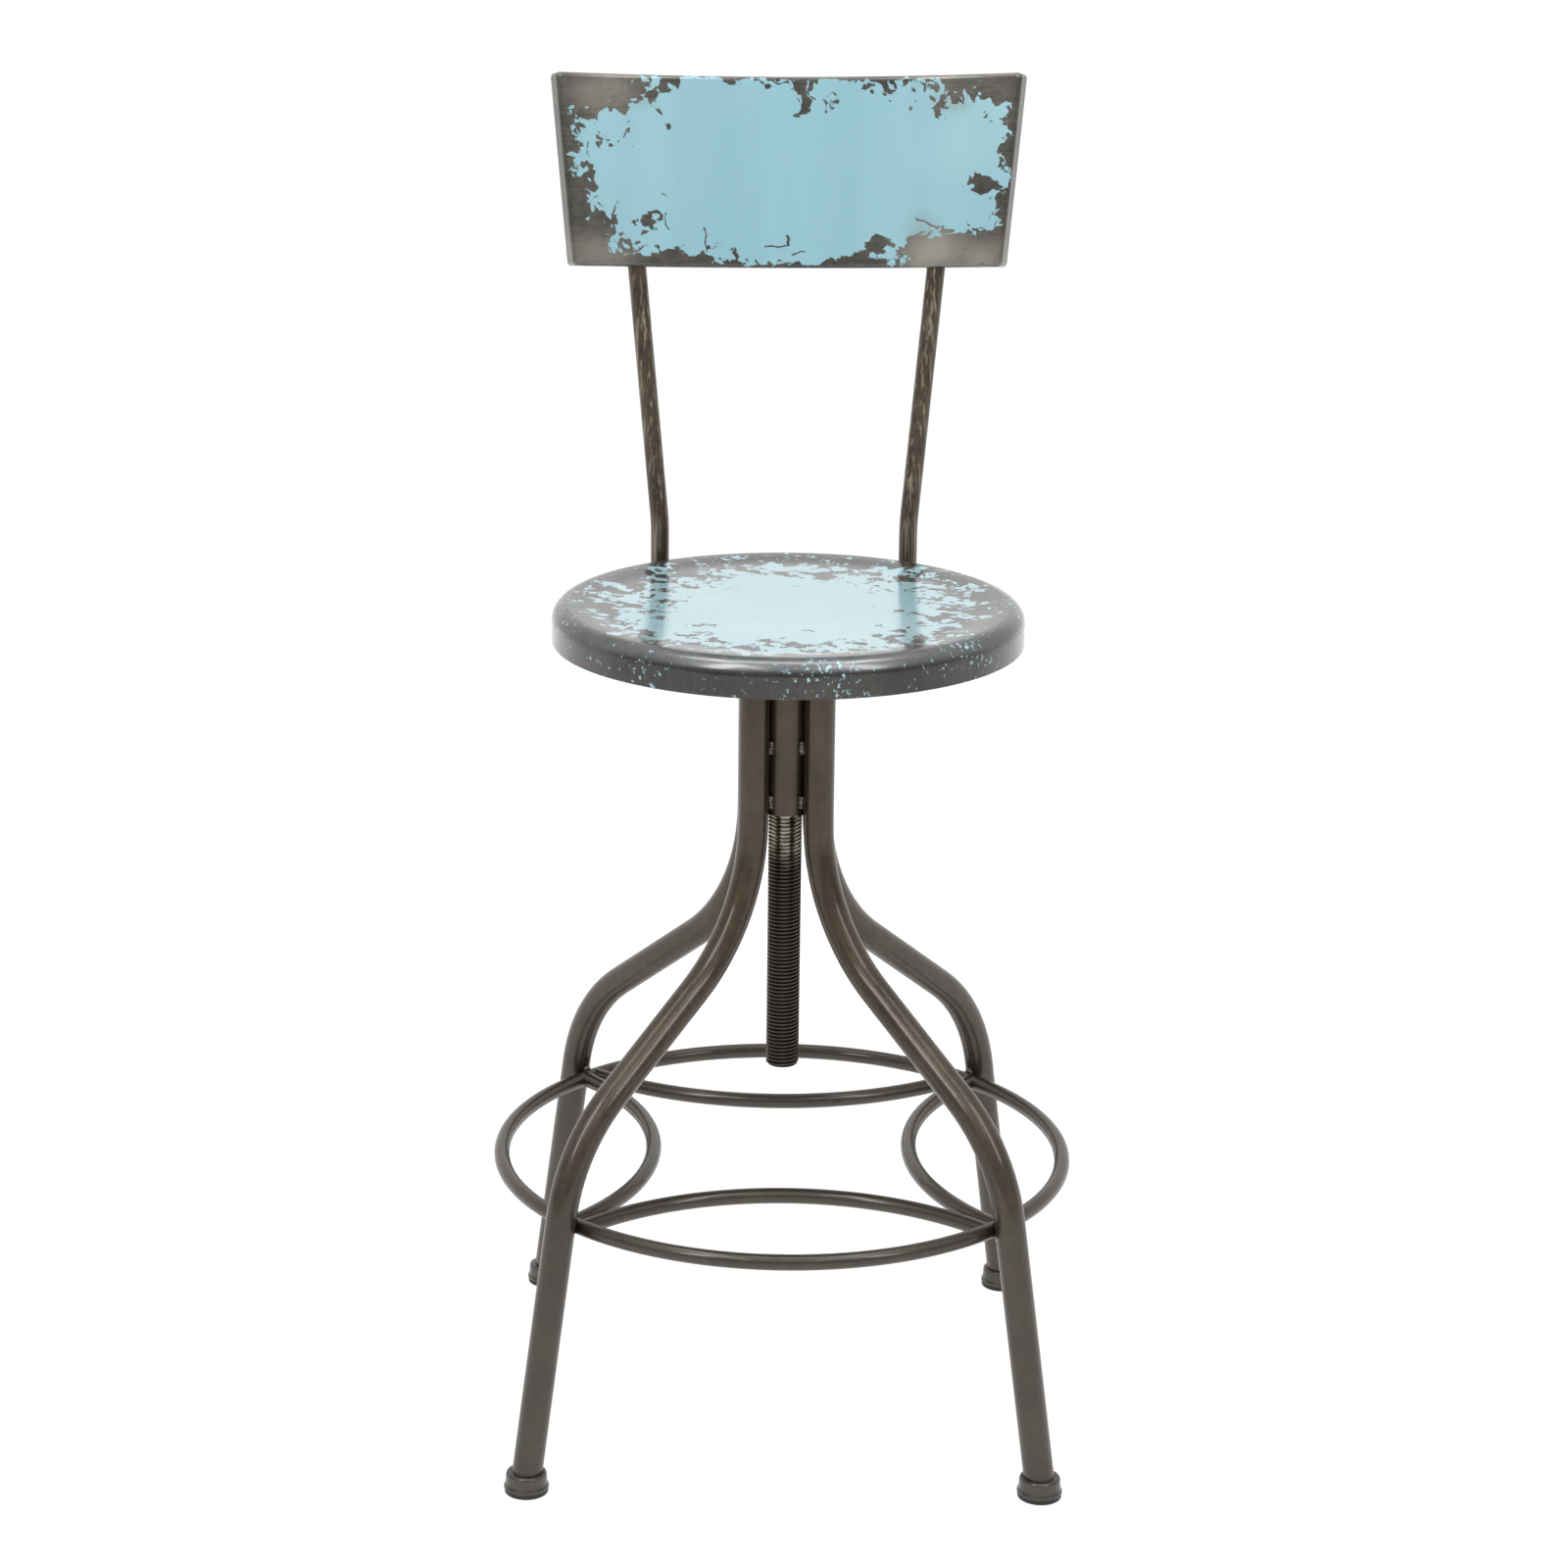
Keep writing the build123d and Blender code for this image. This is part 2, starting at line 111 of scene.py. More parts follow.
# Short calls for the nodes of a material or the world
class Graph:
    def __init__(self, tree):
        self.nodes = tree.nodes
        self.links = tree.links

    def put(self, socket, value):
        if isinstance(value, bpy.types.NodeSocket):
            self.links.new(value, socket)
        else:
            socket.default_value = value

    # Node with its inputs, by name or number, and its settings
    def node(self, kind, inputs=None, **settings):
        made = self.nodes.new(kind)
        for name, value in settings.items():
            setattr(made, name, value)
        for socket, value in (inputs or {}).items():
            self.put(made.inputs[socket], value)
        return made

    def math(self, operation, a, b=0.0, clamp=False):
        made = self.node("ShaderNodeMath", {0: a, 1: b}, operation=operation, use_clamp=clamp)
        return made.outputs[0]

    def add(self, *values):
        total = values[0]
        for value in values[1:]:
            total = self.math("ADD", total, value)
        return total

    def minus(self, a, b):
        return self.math("SUBTRACT", a, b)

    def times(self, a, b):
        return self.math("MULTIPLY", a, b)

    # Sum of values, each times its weight
    def weigh(self, *pairs, plus=0.0):
        return self.add(*(self.times(value, weight) for value, weight in pairs), plus)

    def length(self, x, y):
        return self.math("SQRT", self.add(self.times(x, x), self.times(y, y)))

    def highest(self, *values):
        top = values[0]
        for value in values[1:]:
            top = self.math("MAXIMUM", top, value)
        return top

    def lowest(self, *values):
        least = values[0]
        for value in values[1:]:
            least = self.math("MINIMUM", least, value)
        return least

    # Smooth step while the value goes from low to high
    def ramp(self, value, low, high, to_low=0.0, to_high=1.0):
        inputs = {"Value": value, "From Min": low, "From Max": high, "To Min": to_low, "To Max": to_high}
        return self.node("ShaderNodeMapRange", inputs, interpolation_type="SMOOTHSTEP").outputs[0]

    def vectors(self, operation, a, b):
        return self.node("ShaderNodeVectorMath", {0: a, 1: b}, operation=operation).outputs

    def stretch(self, vector, scale):
        return self.vectors("MULTIPLY", vector, scale)["Vector"]

    def shift(self, vector, offset):
        return self.vectors("ADD", vector, offset)["Vector"]

    def dot(self, vector, direction):
        return self.vectors("DOT_PRODUCT", vector, direction)["Value"]

    def split(self, vector):
        return self.node("ShaderNodeSeparateXYZ", {0: vector}).outputs

    def turn(self, vector, axis, degrees):
        inputs = {"Vector": vector, "Axis": axis, "Angle": math.radians(degrees)}
        return self.node("ShaderNodeVectorRotate", inputs, rotation_type="AXIS_ANGLE").outputs[0]

    def noise(self, vector, scale, detail, roughness, output="Fac"):
        inputs = {"Vector": vector, "Scale": scale, "Detail": detail, "Roughness": roughness}
        return self.node("ShaderNodeTexNoise", inputs).outputs[output]

    # Cells that each have a random colour
    def cells(self, vector, scale):
        return self.node("ShaderNodeTexVoronoi", {"Vector": vector, "Scale": scale}).outputs["Color"]

    # The vector pushed about by noise, so that what is drawn with it has ragged edges
    def ragged(self, vector, scale, amount):
        pushes = self.noise(vector, scale, detail=3.0, roughness=0.5, output="Color")
        push = self.shift(pushes, (-0.5, -0.5, -0.5))
        return self.shift(vector, self.stretch(push, (amount, amount, amount)))

    def between(self, data_type, sockets, factor, a, b):
        first, second, result = sockets
        inputs = {"Factor": factor, first: a, second: b}
        return self.node("ShaderNodeMix", inputs, data_type=data_type).outputs[result]

    def mix(self, factor, a, b):
        return self.between("RGBA", MIX_COLOURS, factor, a, b)

    def blend(self, factor, a, b):
        return self.between("FLOAT", MIX_NUMBERS, factor, a, b)

    def bump(self, height, strength, distance, normal=None):
        inputs = {"Height": height, "Strength": strength, "Distance": distance}
        if normal is not None:
            inputs["Normal"] = normal
        return self.node("ShaderNodeBump", inputs).outputs[0]


def start_material(name, **constants):
    made = bpy.data.materials.new(name)
    made.use_nodes = True
    graph = Graph(made.node_tree)
    shader = graph.nodes["Principled BSDF"]
    for socket, value in constants.items():
        shader.inputs[socket.replace("_", " ")].default_value = value
    place = graph.node("ShaderNodeTexCoord").outputs["Object"]
    return made, graph, shader, place


def set_surface(graph, shader, tone, rough, normal):
    graph.put(shader.inputs["Base Color"], tone)
    graph.put(shader.inputs["Roughness"], rough)
    graph.put(shader.inputs["Normal"], normal)


# Bare steel with cloudy tone, rubbed lines and fine pits: colour, roughness and height
def bare_steel(graph, place, dark, light, line_scale):
    cloud = graph.noise(place, scale=22.0, detail=4.0, roughness=0.6)
    mottle = graph.noise(place, scale=160.0, detail=5.0, roughness=0.65)
    lines = graph.noise(graph.stretch(place, line_scale), scale=1.0, detail=3.0, roughness=0.6)
    tone = graph.weigh((cloud, 0.55), (mottle, 0.3), (lines, 0.3), plus=-0.12)
    steel = graph.mix(graph.ramp(tone, 0.2, 0.75), dark, light)
    rough = graph.weigh((mottle, 0.16), (lines, 0.16), plus=0.2)
    height = graph.weigh((mottle, 0.5), (lines, 0.5))
    return steel, rough, height


# Finish of the worn blue paint: a cover of 1 is paint and 0 is bare steel
BARE_METALLIC = 0.9


def finish_paint(graph, shader, place, cover, paint, stain, steel_tones, steel_lines, rubbed_and_highlight, rubbed_and_highlight_tone):
    steel, steel_rough, steel_height = bare_steel(graph, place, *steel_tones, steel_lines)
    # Lighter steel where rubbed on the panel, and a painted highlight on the seat's front rim
    steel = graph.mix(rubbed_and_highlight, steel, rubbed_and_highlight_tone)
    painted = graph.mix(graph.times(stain, 0.75), paint, STAIN)
    smear = graph.noise(place, scale=9.0, detail=3.0, roughness=0.55)
    paint_rough = graph.weigh((smear, 0.12), (stain, 0.15), plus=0.14)
    ripple = graph.noise(place, scale=55.0, detail=2.0, roughness=0.4)
    height = graph.blend(cover, steel_height, graph.times(ripple, 0.5))
    fine = graph.bump(height, strength=0.12, distance=0.6 * MM)
    graph.put(shader.inputs["Metallic"], graph.blend(cover, BARE_METALLIC, 0.0))
    set_surface(
        graph,
        shader,
        tone=graph.mix(cover, steel, painted),
        rough=graph.blend(cover, steel_rough, paint_rough),
        normal=graph.bump(cover, strength=0.5, distance=0.18 * MM, normal=fine),
    )


# Torn paint: flakes and crumbs that lie across each other, about 0 on average
FLAKE_WEIGHT = 0.9
CRUMB_WEIGHT = 0.55
DRIFT_WEIGHT = 2.2
TORN_MEAN = (FLAKE_WEIGHT + CRUMB_WEIGHT + DRIFT_WEIGHT) / 2
FLAKE_TURN = 40
CRUMB_TURN = -35

# Loss of paint: half bare, the start and end of a torn edge, and the least near an edge of the sheet
HALF_BARE = 0.5
TORN_FROM = 0.48
TORN_TO = 0.52
NO_LOSS = -1.5


def torn_edges(graph, shaken, axis, squeeze, flake_scale, crumb_scale):
    one_way = graph.stretch(graph.turn(shaken, axis, FLAKE_TURN), squeeze)
    other_way = graph.stretch(graph.turn(shaken, axis, CRUMB_TURN), squeeze)
    flake = graph.split(graph.cells(one_way, flake_scale))[0]
    crumb = graph.split(graph.cells(other_way, crumb_scale))[1]
    drift = graph.noise(shaken, scale=45.0, detail=3.0, roughness=0.5)
    weights = ((flake, FLAKE_WEIGHT), (crumb, CRUMB_WEIGHT), (drift, DRIFT_WEIGHT))
    return graph.weigh(*weights, plus=-TORN_MEAN)


# Back panel: its lean, its height, half its width at the foot, and how its sides spread upwards
PANEL_LEAN = math.radians(10.8)
PANEL_UP = Vector((0, math.sin(PANEL_LEAN), math.cos(PANEL_LEAN)))
PANEL_HEIGHT = 149 * MM
PANEL_HALF_LOW = 166 * MM
PANEL_SIDE_LEAN = math.radians(5.4)
PANEL_CURVE_SHARE = 0.97
PANEL_SPLAY = math.tan(PANEL_SIDE_LEAN) * PANEL_CURVE_SHARE
panel_foot = min(v.co.dot(PANEL_UP) for v in nodes["back_panel"].data.vertices)

# The panel's back faces +Y by more than this, and its flakes are drawn from this far away
FACES_BACK = 0.2
BACK_FLAKES = (0.0, 0.5, 0.0)

# Wear of the panel: mm across from its middle and up from its foot
# Bare patches: across, up, half width, half height, sharpness of the edge
BARE_PATCHES = (
    (-184, 154, 88, 42, 3.6),
    (-172, -2, 48, 52, 2.2),
    (-104, -2, 84, 17, 1.8),
    (128, -4, 48, 32, 2.6),
    (170, 0, 36, 36, 1.8),
    (186, 156, 124, 28, 1.8),
    (158, 64, 13, 6, 0.8),
    (10, 144, 7, 21, 1.0),
    (72, 17, 9, 5, 0.8),
    (60, 1, 28, 7, 0.8),
)
# Chipped places: across, up, half width, half height, loss in the middle
CHIPPED_PLACES = (
    (2, 4, 34, 9, 0.5),
    (95, 128, 32, 17, 0.3),
    (155, 118, 18, 16, 0.5),
    (38, 140, 12, 16, 0.35),
    (-128, 106, 28, 18, 0.4),
    (-112, 36, 30, 16, 0.3),
    (148, 40, 22, 14, 0.3),
)
CHIPPED_SLOPE = 0.6
# Scratches: across and up at each end, width
SCRATCHES = (
    (-96, 42, -94, 28, 0.7),
    (-66, 32, -64, 12, 0.9),
    (-16, 19, 0, 19, 0.9),
    (0, 19, 0, 27, 1.1),
    (4, 11, 12, 12, 1.0),
    (100, 36, 116, 28, 1.1),
    (62, 17, 76, 20, 1.6),
    (76, 20, 84, 16, 2.2),
)
# Stains on the paint, then bright rubbed steel: across, up, half width, half height, strength
STAINED_PLACES = (
    (126, 128, 22, 14, 0.6),
    (104, 26, 22, 26, 0.4),
    (-112, 128, 18, 12, 0.4),
)
RUBBED_PLACES = (
    (112, 12, 44, 30, 0.85),
    (152, 8, 34, 22, 0.6),
    (-148, 10, 46, 26, 0.45),
    (-150, 134, 50, 22, 0.3),
)


def panel_paint():
    made, graph, shader, place = start_material("worn_blue_panel", Coat_Weight=1.0, Coat_Roughness=0.15)
    shaken = graph.ragged(graph.ragged(place, 26.0, 12 * MM), 120.0, 7 * MM)

    # The back is worn like the front but with flakes of its own
    facing = graph.split(graph.node("ShaderNodeTexCoord").outputs["Normal"])[1]
    behind = graph.math("GREATER_THAN", facing, FACES_BACK)
    across = graph.times(graph.split(shaken)[0], graph.weigh((behind, -2.0), plus=1.0))
    up = graph.minus(graph.dot(shaken, PANEL_UP), panel_foot)
    half = graph.weigh((up, PANEL_SPLAY), plus=PANEL_HALF_LOW)
    from_left = graph.add(half, across)
    from_right = graph.minus(half, across)
    from_top = graph.minus(PANEL_HEIGHT, up)
    rim = graph.lowest(from_left, from_right, from_top, up)

    # Loss of paint falls away from an edge or from the middle of a place
    def edge(distance, loss, reach):
        return graph.highest(graph.weigh((distance, -1 / (reach * MM)), plus=loss), NO_LOSS)

    def far_from(x, y, wide, high):
        dx = graph.times(graph.add(across, -x * MM), 1 / (wide * MM))
        dy = graph.times(graph.add(up, -y * MM), 1 / (high * MM))
        return graph.length(dx, dy)

    def patch(x, y, wide, high, slope):
        return graph.weigh((far_from(x, y, wide, high), -slope), plus=slope + HALF_BARE)

    def chips(x, y, wide, high, loss):
        return graph.weigh((far_from(x, y, wide, high), -CHIPPED_SLOPE), plus=loss)

    def haze(x, y, wide, high, strength):
        return graph.ramp(far_from(x, y, wide, high), 0.0, 1.0, to_low=strength, to_high=0.0)

    def scratch(x0, y0, x1, y1, wide):
        run = Vector((x1 - x0, y1 - y0)) * MM
        dx = graph.add(across, -x0 * MM)
        dy = graph.add(up, -y0 * MM)
        along = graph.times(graph.weigh((dx, run.x), (dy, run.y)), 1 / run.length_squared)
        held = graph.lowest(graph.highest(along, 0.0), 1.0)
        off_x = graph.minus(dx, graph.times(held, run.x))
        off_y = graph.minus(dy, graph.times(held, run.y))
        return graph.ramp(graph.length(off_x, off_y), wide / 2 * MM, wide * MM, to_low=1.0, to_high=0.0)

    flakes = graph.shift(shaken, graph.stretch(BACK_FLAKES, behind))
    torn = torn_edges(graph, flakes, (0, 1, 0), (0.8, 1.0, 1.25), flake_scale=85.0, crumb_scale=230.0)
    loss = graph.highest(
        edge(rim, loss=3.0, reach=0.8),
        edge(from_left, loss=1.5, reach=15),
        edge(from_right, loss=1.1, reach=13),
        edge(from_top, loss=0.9, reach=8),
        edge(up, loss=0.85, reach=10),
        *(patch(*row) for row in BARE_PATCHES),
        *(chips(*row) for row in CHIPPED_PLACES),
    )
    bare = graph.ramp(graph.add(loss, torn), TORN_FROM, TORN_TO)
    marks = graph.highest(*(scratch(*row) for row in SCRATCHES))
    gone = graph.highest(bare, graph.times(marks, graph.minus(1.0, behind)))
    # Painted reflection: vertical darker and lighter bands in the paint stand for softboxes seen in the
    # sheet
    reflection_bands = graph.noise(graph.stretch(place, (26.0, 0.6, 0.9)), scale=1.0, detail=3.0, roughness=0.5)
    clouds = graph.noise(place, scale=7.0, detail=3.0, roughness=0.5)
    tone = graph.mix(graph.ramp(reflection_bands, 0.3, 0.7), PAINT_REFLECTION_BAND_DARK, PAINT)
    finish_paint(
        graph,
        shader,
        place,
        cover=graph.math("SUBTRACT", 1.0, gone, clamp=True),
        paint=graph.mix(graph.ramp(clouds, 0.45, 0.8), tone, PAINT_PALE),
        stain=graph.highest(*(haze(*row) for row in STAINED_PLACES)),
        steel_tones=PANEL_STEEL,
        steel_lines=(30.0, 60.0, 420.0),
        rubbed_and_highlight=graph.highest(*(haze(*row) for row in RUBBED_PLACES)),
        rubbed_and_highlight_tone=PANEL_RUBBED,
    )
    return made


# Seat: paint left in the middle, flakes towards the rim, specks on the rim and skirt
SEAT_R = 177.8 * MM
# Share of the radius where half the paint is gone, and how far the painted middle lies forward
SEAT_HALF_BARE = 0.73
PAINT_FORWARD = 12 * MM
# The sheet's underside faces down by more than this
FACES_DOWN = -0.2
# More specks are left towards this side
SPECKLED_SIDE = (0.45, -0.9, 0.0)


def seat_paint():
    made, graph, shader, place = start_material("worn_blue_seat", Coat_Weight=1.0, Coat_Roughness=0.13)
    shaken = graph.ragged(graph.ragged(place, 26.0, 14 * MM), 130.0, 7 * MM)
    facing = graph.split(graph.node("ShaderNodeTexCoord").outputs["Normal"])[2]
    x, y = graph.split(shaken)[:2]
    far = graph.times(graph.length(x, y), 1 / SEAT_R)
    from_middle = graph.length(x, graph.add(y, PAINT_FORWARD))
    flat = graph.stretch(place, (1.0, 1.0, 0.0))
    lobes = graph.noise(flat, scale=11.0, detail=2.0, roughness=0.5)
    out = graph.weigh((from_middle, 1 / SEAT_R), (graph.add(lobes, -0.5), 0.25))

    # Loss grows outwards, and the rim and the underside have more of it
    torn = torn_edges(graph, shaken, (0, 0, 1), (0.9, 1.1, 0.5), flake_scale=100.0, crumb_scale=240.0)
    on_rim = graph.ramp(far, 0.9, 0.97, to_high=1.5)
    under = graph.times(graph.math("LESS_THAN", facing, FACES_DOWN), 1.4)
    outwards = graph.times(graph.add(out, -SEAT_HALF_BARE), 2.3)
    loss = graph.add(outwards, on_rim, under, HALF_BARE)
    bare = graph.ramp(graph.add(loss, torn), TORN_FROM, TORN_TO)

    # Specks of paint that are left outside
    crumbs = graph.noise(graph.ragged(place, 300.0, 4 * MM), scale=250.0, detail=3.0, roughness=0.6)
    share = graph.noise(place, scale=16.0, detail=2.0, roughness=0.5)
    speckled = graph.ramp(graph.dot(place, SPECKLED_SIDE), 0.14, 0.178, to_high=0.035)
    speck_level = graph.add(crumbs, graph.times(graph.add(share, -0.5), 0.3), speckled)
    speck = graph.times(graph.ramp(speck_level, 0.645, 0.66), graph.ramp(out, 0.86, 0.95))

    # Painted highlight: lighter steel along the rounded top of the rim, on the front side only
    edge = graph.times(graph.ramp(far, 0.93, 0.97), graph.ramp(facing, 0.1, 0.5))
    front_highlight_share = graph.ramp(graph.split(place)[1], -0.15, -0.06, to_low=0.3, to_high=0.0)

    stain = graph.ramp(graph.noise(place, scale=30.0, detail=3.0, roughness=0.6), 0.62, 0.85)
    clouds = graph.noise(place, scale=8.0, detail=3.0, roughness=0.5)
    finish_paint(
        graph,
        shader,
        place,
        cover=graph.highest(graph.math("SUBTRACT", 1.0, bare, clamp=True), speck),
        paint=graph.mix(graph.ramp(clouds, 0.35, 0.75), PAINT, PAINT_PALE),
        stain=graph.times(stain, 0.25),
        steel_tones=SEAT_STEEL,
        steel_lines=(420.0, 420.0, 25.0),
        rubbed_and_highlight=graph.times(edge, front_highlight_share),
        rubbed_and_highlight_tone=RIM_PAINTED_HIGHLIGHT,
    )
    return made


# Dark tube and bar steel under clear lacquer, greyer near the floor: heights of full grey and none
GREY_FROM = 0.1
GREY_TO = 0.45
STREAK_LINES = (460.0, 460.0, 8.0)


def tube_steel(name, tones, lines, streaks=0.0):
    made, graph, shader, place = start_material(name, Coat_Weight=0.6, Coat_Roughness=0.12, Metallic=0.85)
    steel, rough, height = bare_steel(graph, place, *tones, lines)
    low = graph.ramp(graph.split(place)[2], GREY_FROM, GREY_TO, to_low=0.5, to_high=0.0)
    steel = graph.mix(low, steel, NEAR_FLOOR_GREY)
    runs = graph.noise(graph.stretch(place, STREAK_LINES), scale=1.0, detail=4.0, roughness=0.65)
    steel = graph.mix(graph.ramp(runs, 0.5, 0.68, to_high=streaks), steel, STREAK)
    rust = graph.noise(place, scale=46.0, detail=5.0, roughness=0.65)
    rust = graph.ramp(rust, 0.6, 0.8, to_high=0.55)
    tone = graph.mix(rust, steel, RUST)
    chips = graph.noise(graph.stretch(place, (1.0, 1.0, 0.35)), scale=210.0, detail=5.0, roughness=0.7)
    worn = graph.ramp(chips, 0.66, 0.74)
    set_surface(
        graph,
        shader,
        tone=graph.mix(graph.times(worn, 0.3), tone, WORN_THROUGH),
        rough=graph.add(rough, graph.times(rust, 0.2), 0.12),
        normal=graph.bump(graph.add(height, graph.times(worn, -0.3)), strength=0.08, distance=0.5 * MM),
    )
    return made


# Screw: its radius, its thread's depth and pitch, and the chamfer of its lower end
SCREW_R = 12.7 * MM
THREAD_DEPTH = 1.7 * MM
THREAD_PITCH = 3 * MM
SCREW_CHAMFER = 1.6 * MM

# Heights between which the screw turns bright going up, and between which it dulls again
BRIGHT_BAND = (0.436, 0.452)
DULL_BAND = (0.60, 0.61)


# Screw steel: rubbed bright next to the hub, black with old grease lower down
def screw_steel():
    made, graph, shader, place = start_material(
        "screw_steel", Coat_Weight=0.1, Coat_Roughness=0.25, Metallic=0.9
    )
    height = graph.split(graph.ragged(place, 60.0, 20 * MM))[2]
    dulled = graph.ramp(height, *DULL_BAND, to_low=1.0, to_high=0.4)
    bright = graph.times(graph.ramp(height, *BRIGHT_BAND), dulled)
    smut = graph.noise(graph.stretch(place, (1.0, 1.0, 3.0)), scale=90.0, detail=4.0, roughness=0.6)
    rust = graph.ramp(graph.noise(place, scale=38.0, detail=4.0, roughness=0.6), 0.52, 0.72)
    x, y = graph.split(place)[:2]
    crest = graph.ramp(graph.length(x, y), SCREW_R - THREAD_DEPTH, SCREW_R)
    black = graph.mix(graph.weigh((smut, 0.5), (crest, 0.5)), *SCREW_BLACK)
    shiny = graph.mix(graph.ramp(smut, 0.25, 0.7), *SCREW_BRIGHT)
    shiny = graph.mix(graph.times(rust, 0.6), shiny, SCREW_RUST)
    set_surface(
        graph,
        shader,
        tone=graph.mix(bright, black, shiny),
        rough=graph.blend(bright, graph.weigh((smut, 0.2), plus=0.32), 0.26),
        normal=graph.bump(smut, strength=0.2, distance=0.3 * MM),
    )
    return made


def zinc_plate():
    made, graph, shader, place = start_material("zinc_plate", Coat_Weight=0.05, Metallic=1.0)
    spangle = graph.split(graph.cells(graph.ragged(place, 300.0, 2 * MM), 420.0))[0]
    dull = graph.noise(place, scale=90.0, detail=4.0, roughness=0.6)
    set_surface(
        graph,
        shader,
        tone=graph.mix(graph.weigh((spangle, 0.3), (dull, 0.7)), *ZINC),
        rough=graph.weigh((dull, 0.25), plus=0.25),
        normal=graph.bump(dull, strength=0.1, distance=0.3 * MM),
    )
    return made


# Black rubber or nylon with dust on it: roughness clean and dusty, and the scale of its grain
def soft_black(name, tones, clean_rough, dusty_rough, grain):
    made, graph, shader, place = start_material(name)
    grains = graph.noise(place, scale=grain, detail=4.0, roughness=0.6)
    dust = graph.ramp(graph.noise(place, scale=70.0, detail=4.0, roughness=0.6), 0.45, 0.75)
    set_surface(
        graph,
        shader,
        tone=graph.mix(graph.weigh((grains, 0.4), (dust, 0.5)), *tones),
        rough=graph.blend(dust, clean_rough, dusty_rough),
        normal=graph.bump(grains, strength=0.25, distance=0.4 * MM),
    )
    return made


# Weld beads: the solid's form with the ripples and lumps of a run bead
BEAD_VOXEL = 0.45 * MM
BEAD_SINK = 0.2 * MM
RIPPLE_LENGTH = 2.4 * MM
RIPPLE_WANDER = 3
WANDER_SCALE = 300
LUMP_SCALE = 420
GRAIN_SCALE = 950
GRAIN_SHARE = 0.6


def rough_bead(name, node, ripple_axis, ripple, lump):
    source = nodes[node]
    made = bpy.data.objects.new(name, source.data.copy())
    bpy.context.scene.collection.objects.link(made)
    remesh = made.modifiers.new("even", "REMESH")
    remesh.mode = "VOXEL"
    remesh.voxel_size = BEAD_VOXEL
    seen = made.evaluated_get(bpy.context.evaluated_depsgraph_get())
    mesh = bpy.data.meshes.new_from_object(seen)
    made.modifiers.clear()
    made.data = mesh
    axis = Vector(ripple_axis)
    normals = [v.normal.copy() for v in mesh.vertices]
    for v, out in zip(mesh.vertices, normals):
        wander = RIPPLE_WANDER * noise.noise(v.co * WANDER_SCALE)
        wave = math.sin(v.co.dot(axis) / RIPPLE_LENGTH * 2 * math.pi + wander)
        lumps = noise.noise(v.co * LUMP_SCALE) + GRAIN_SHARE * noise.noise(v.co * GRAIN_SCALE)
        v.co += out * (wave * ripple + lumps * lump - BEAD_SINK)
    mesh.polygons.foreach_set("use_smooth", [True] * len(mesh.polygons))
    mesh.update()
    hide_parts(node)
    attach(made, body_of_node[node])
    return made


# One turn of the thread: shares of the pitch, each with a share of the depth
THREAD_PROFILE = (
    (0.0, 0.0),
    (0.05, 0.0),
    (0.27, 0.0),
    (0.32, 0.0),
    (0.46, 0.82),
    (0.54, 1.0),
    (0.78, 1.0),
    (0.86, 0.82),
)
THREAD_COLUMNS = 72
SAME_PLACE = 1e-7


# Screw with a right-hand thread, which is broken by a narrow seam on its +X side
def threaded_screw():
    low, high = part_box("spindle")
    crest = (high.x - low.x) / 2
    per_turn = len(THREAD_PROFILE)
    rows = per_turn * (int(round((high.z - low.z) / THREAD_PITCH)) + 2)

    def thread_point(column, row):
        share, deep = THREAD_PROFILE[row % per_turn]
        turns = row // per_turn + share + column / THREAD_COLUMNS - 1
        z = min(max(low.z + THREAD_PITCH * turns, low.z), high.z)
        r = min(crest - deep * THREAD_DEPTH, crest - SCREW_CHAMFER + (z - low.z))
        angle = 2 * math.pi * column / THREAD_COLUMNS
        return (r * math.cos(angle), r * math.sin(angle), z)

    mesh = bpy.data.meshes.new("spindle_thread")
    build = bmesh.new()
    grid = [[build.verts.new(thread_point(i, j)) for j in range(rows)] for i in range(THREAD_COLUMNS)]
    for i, column in enumerate(grid):
        # Known flaw: at the seam the first column is met two turns too low, so its faces run steep
        following = grid[(i + 1) % THREAD_COLUMNS]
        step = per_turn if i == THREAD_COLUMNS - 1 else 0
        for j in range(rows - 1 - step):
            build.faces.new((column[j + step], following[j], following[j + 1], column[j + 1 + step]))
    bmesh.ops.remove_doubles(build, verts=build.verts, dist=SAME_PLACE)
    bmesh.ops.dissolve_degenerate(build, edges=build.edges, dist=SAME_PLACE)
    loose = [v for v in build.verts if not v.link_faces]
    bmesh.ops.delete(build, geom=loose, context="VERTS")
    bmesh.ops.holes_fill(build, edges=[e for e in build.edges if e.is_boundary], sides=0)
    bmesh.ops.recalc_face_normals(build, faces=build.faces)
    build.to_mesh(mesh)
    build.free()
    made = bpy.data.objects.new("spindle_thread", mesh)
    bpy.context.scene.collection.objects.link(made)
    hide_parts("spindle")
    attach(made, body_of_node["spindle"])
    return made


def dress(obj, material):
    obj.data.materials.clear()
    obj.data.materials.append(material)


tube = tube_steel("dark_tube_steel", TUBE_STEEL, (160.0, 160.0, 22.0))
bar = tube_steel("dark_bar_steel", BAR_STEEL, (150.0, 150.0, 60.0))
back_bar = tube_steel("dark_upright_steel", UPRIGHT_STEEL, (150.0, 150.0, 30.0), streaks=0.7)
cup_steel = tube_steel("ferrule_steel", FERRULE_STEEL, (160.0, 160.0, 60.0))
bead_steel = tube_steel("weld_steel", WELD_STEEL, (300.0, 300.0, 300.0))
screw = screw_steel()
zinc = zinc_plate()
rubber = soft_black("black_rubber", RUBBER, clean_rough=0.55, dusty_rough=0.8, grain=700.0)
nylon = soft_black("black_nylon", NYLON, clean_rough=0.35, dusty_rough=0.5, grain=900.0)

